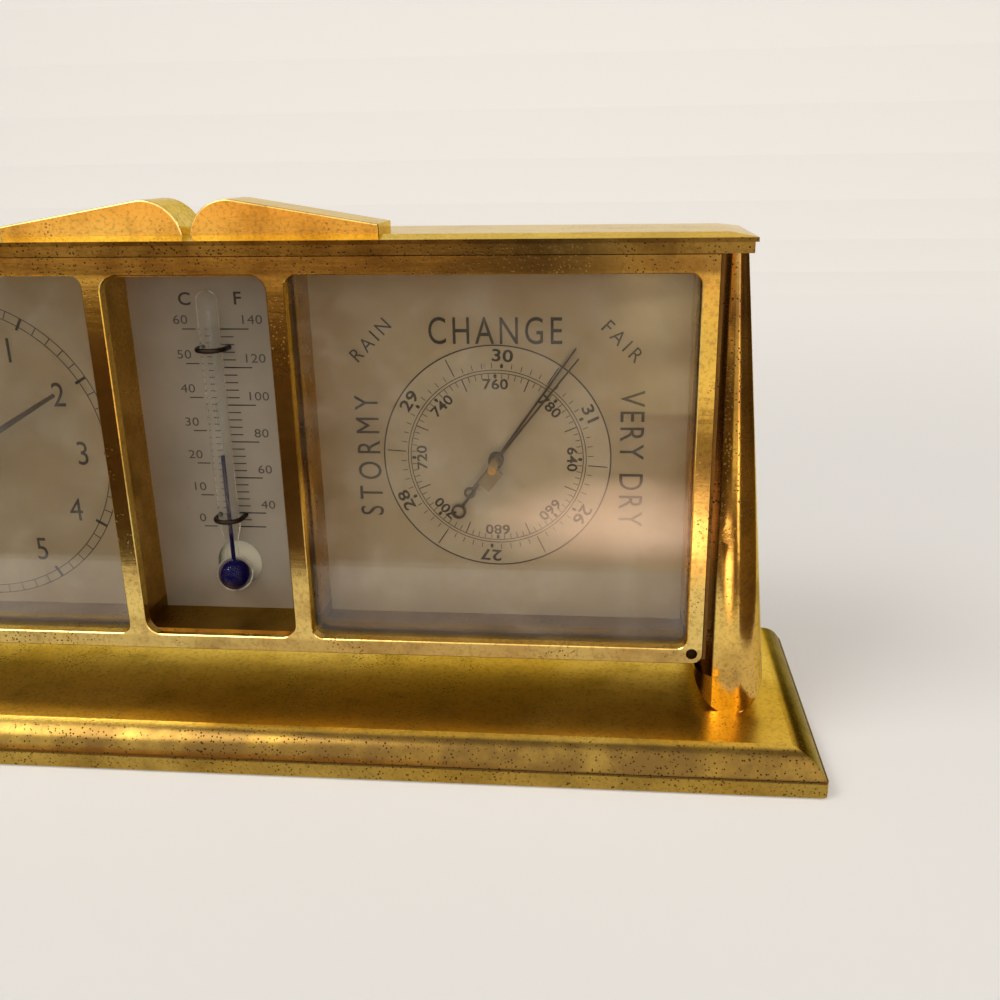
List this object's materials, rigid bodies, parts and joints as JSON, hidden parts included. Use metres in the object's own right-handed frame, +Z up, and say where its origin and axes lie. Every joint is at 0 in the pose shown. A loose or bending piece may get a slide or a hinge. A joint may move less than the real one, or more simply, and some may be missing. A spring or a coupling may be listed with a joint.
{
  "type": "desk weather station clock",
  "caption": "Aged brass desk weather station: framed clock, open spirit thermometer and aneroid barometer in a box held between teardrop cheeks on a moulded base.",
  "frame": {"origin": "under the middle of the base, on the surface that it stands on", "axes": "+X to the right along the front, +Y to the back, +Z up"},
  "size_m": [0.1714, 0.043, 0.0765],
  "materials": {
    "brass": "aged polished",
    "felt": "felt",
    "screws": "worn",
    "window_glass": "clear",
    "wells": "dull",
    "dials": "silvered cream",
    "scale_plate": "matte",
    "tube_glass": "clear",
    "spirit": "dyed spirit",
    "hands": "blackened",
    "movement_brass": "satin",
    "movement_steel": "satin",
    "capsule": "nickelled"
  },
  "bodies": {
    "stand": {"base": "brass", "left_cheek": "brass", "right_cheek": "brass", "top_plate": "brass", "crest_wing_left": "brass", "crest_wing_right": "brass", "front_frame": "brass", "frame_pins": "brass", "case_body": "brass", "rear_cover": "brass", "thermometer_clips": "brass", "base_felt": "felt", "cheek_screws": "screws", "crest_screws": "screws", "top_plate_screws": "screws", "rear_cover_screws": "screws", "clock_glass": "window_glass", "barometer_glass": "window_glass", "clock_well": "wells", "barometer_well": "wells", "thermometer_well": "wells", "clock_dial": "dials", "barometer_dial": "dials", "thermometer_plate": "scale_plate", "thermometer_tube": "tube_glass", "thermometer_spirit": "spirit", "thermometer_bracket": "movement_brass", "clock_front_plate": "movement_brass", "clock_back_plate": "movement_brass", "clock_pillars": "movement_brass", "clock_dial_feet": "movement_brass", "barometer_plate": "movement_brass", "barometer_pillars": "movement_brass", "barometer_bridge": "movement_brass", "marker_stud": "movement_brass", "barometer_spring": "movement_steel", "barometer_hairspring": "movement_steel", "barometer_capsule": "capsule"},
    "minute": {"minute_hand": "hands", "cannon_pinion": "movement_brass", "centre_wheel": "movement_brass", "setting_knob": "brass"},
    "hour": {"hour_hand": "hands", "hour_wheel": "movement_brass"},
    "minute_wheel": {"minute_wheel": "movement_brass"},
    "barrel": {"mainspring_barrel": "movement_brass"},
    "third": {"third_wheel": "movement_brass"},
    "fourth": {"fourth_wheel": "movement_brass"},
    "escape": {"escape_wheel": "movement_steel"},
    "lever": {"pallet_lever": "movement_steel"},
    "balance": {"balance_wheel": "movement_brass", "balance_hairspring": "movement_steel"},
    "winding": {"winding_arbor": "movement_steel", "winding_key": "brass"},
    "pressure_hand": {"barometer_hand": "hands", "barometer_arbor": "movement_brass"},
    "marker": {"marker_hand": "hands"},
    "rocker": {"barometer_rocker": "movement_steel"},
    "capsule_lever": {"barometer_lever": "movement_steel"},
    "adjuster": {"adjusting_screw": "screws"}
  },
  "joints": [
    {"name": "minute_hand_turn", "type": "hinge", "parent": "stand", "child": "minute", "pos_m": [-0.04015, 0.01, 0.03995], "axis": [0, 1, 0], "continuous": true},
    {"name": "hour_hand_turn", "type": "hinge", "parent": "stand", "child": "hour", "pos_m": [-0.04015, 0.01, 0.03995], "axis": [0, 1, 0], "continuous": true},
    {"name": "minute_wheel_turn", "type": "hinge", "parent": "stand", "child": "minute_wheel", "pos_m": [-0.04581, 0.01, 0.04561], "axis": [0, 1, 0], "continuous": true},
    {"name": "barrel_turn", "type": "hinge", "parent": "stand", "child": "barrel", "pos_m": [-0.0511, 0.01, 0.03228], "axis": [0, 1, 0], "continuous": true},
    {"name": "third_wheel_turn", "type": "hinge", "parent": "stand", "child": "third", "pos_m": [-0.03475, 0.01, 0.0493], "axis": [0, 1, 0], "continuous": true},
    {"name": "fourth_wheel_turn", "type": "hinge", "parent": "stand", "child": "fourth", "pos_m": [-0.02694, 0.01, 0.04275], "axis": [0, 1, 0], "continuous": true},
    {"name": "escape_wheel_turn", "type": "hinge", "parent": "stand", "child": "escape", "pos_m": [-0.02526, 0.01, 0.03327], "axis": [0, 1, 0], "continuous": true},
    {"name": "balance_swing", "type": "hinge", "parent": "stand", "child": "balance", "pos_m": [-0.03364, 0.01, 0.02346], "axis": [0, 1, 0], "range_deg": [-135, 135], "stiffness_Nm_per_rad": 0.0000022},
    {"name": "lever_rock", "type": "hinge", "parent": "stand", "child": "lever", "pos_m": [-0.02936, 0.01, 0.02848], "axis": [0, 1, 0], "range_deg": [-4.05, 4.05]},
    {"name": "key_turn", "type": "hinge", "parent": "stand", "child": "winding", "pos_m": [-0.0511, 0.01, 0.03228], "axis": [0, 1, 0], "range_deg": [0, 1350]},
    {"name": "pressure_hand_turn", "type": "hinge", "parent": "stand", "child": "pressure_hand", "pos_m": [0.04015, 0.01, 0.03995], "axis": [0, 1, 0], "range_deg": [-269, 34], "stiffness_Nm_per_rad": 0.00002},
    {"name": "rocker_rock", "type": "hinge", "parent": "stand", "child": "rocker", "pos_m": [0.04895, 0.00455, 0.04595], "axis": [1, 0, 0], "range_deg": [-5.38, 0.68]},
    {"name": "capsule_lever_rock", "type": "hinge", "parent": "stand", "child": "capsule_lever", "pos_m": [0.0438, 0.0059, 0.03995], "axis": [0, 0, 1], "range_deg": [-2.69, 0.34]},
    {"name": "marker_turn", "type": "hinge", "parent": "stand", "child": "marker", "pos_m": [0.04015, 0.01, 0.03995], "axis": [0, 1, 0], "continuous": true},
    {"name": "adjuster_turn", "type": "hinge", "parent": "stand", "child": "adjuster", "pos_m": [0.02335, 0.01, 0.03995], "axis": [0, 1, 0], "range_deg": [-180, 180]}
  ],
  "couplings": [
    {"joint": "hour_hand_turn", "follows": "minute_hand_turn", "ratio": 0.083333},
    {"joint": "minute_wheel_turn", "follows": "minute_hand_turn", "ratio": -0.33333},
    {"joint": "barrel_turn", "follows": "minute_hand_turn", "ratio": -0.125},
    {"joint": "third_wheel_turn", "follows": "minute_hand_turn", "ratio": -8},
    {"joint": "fourth_wheel_turn", "follows": "minute_hand_turn", "ratio": 60},
    {"joint": "escape_wheel_turn", "follows": "minute_hand_turn", "ratio": -600},
    {"joint": "lever_rock", "follows": "balance_swing", "ratio": 0.03},
    {"joint": "rocker_rock", "follows": "pressure_hand_turn", "ratio": 0.02},
    {"joint": "capsule_lever_rock", "follows": "pressure_hand_turn", "ratio": 0.01}
  ]
}
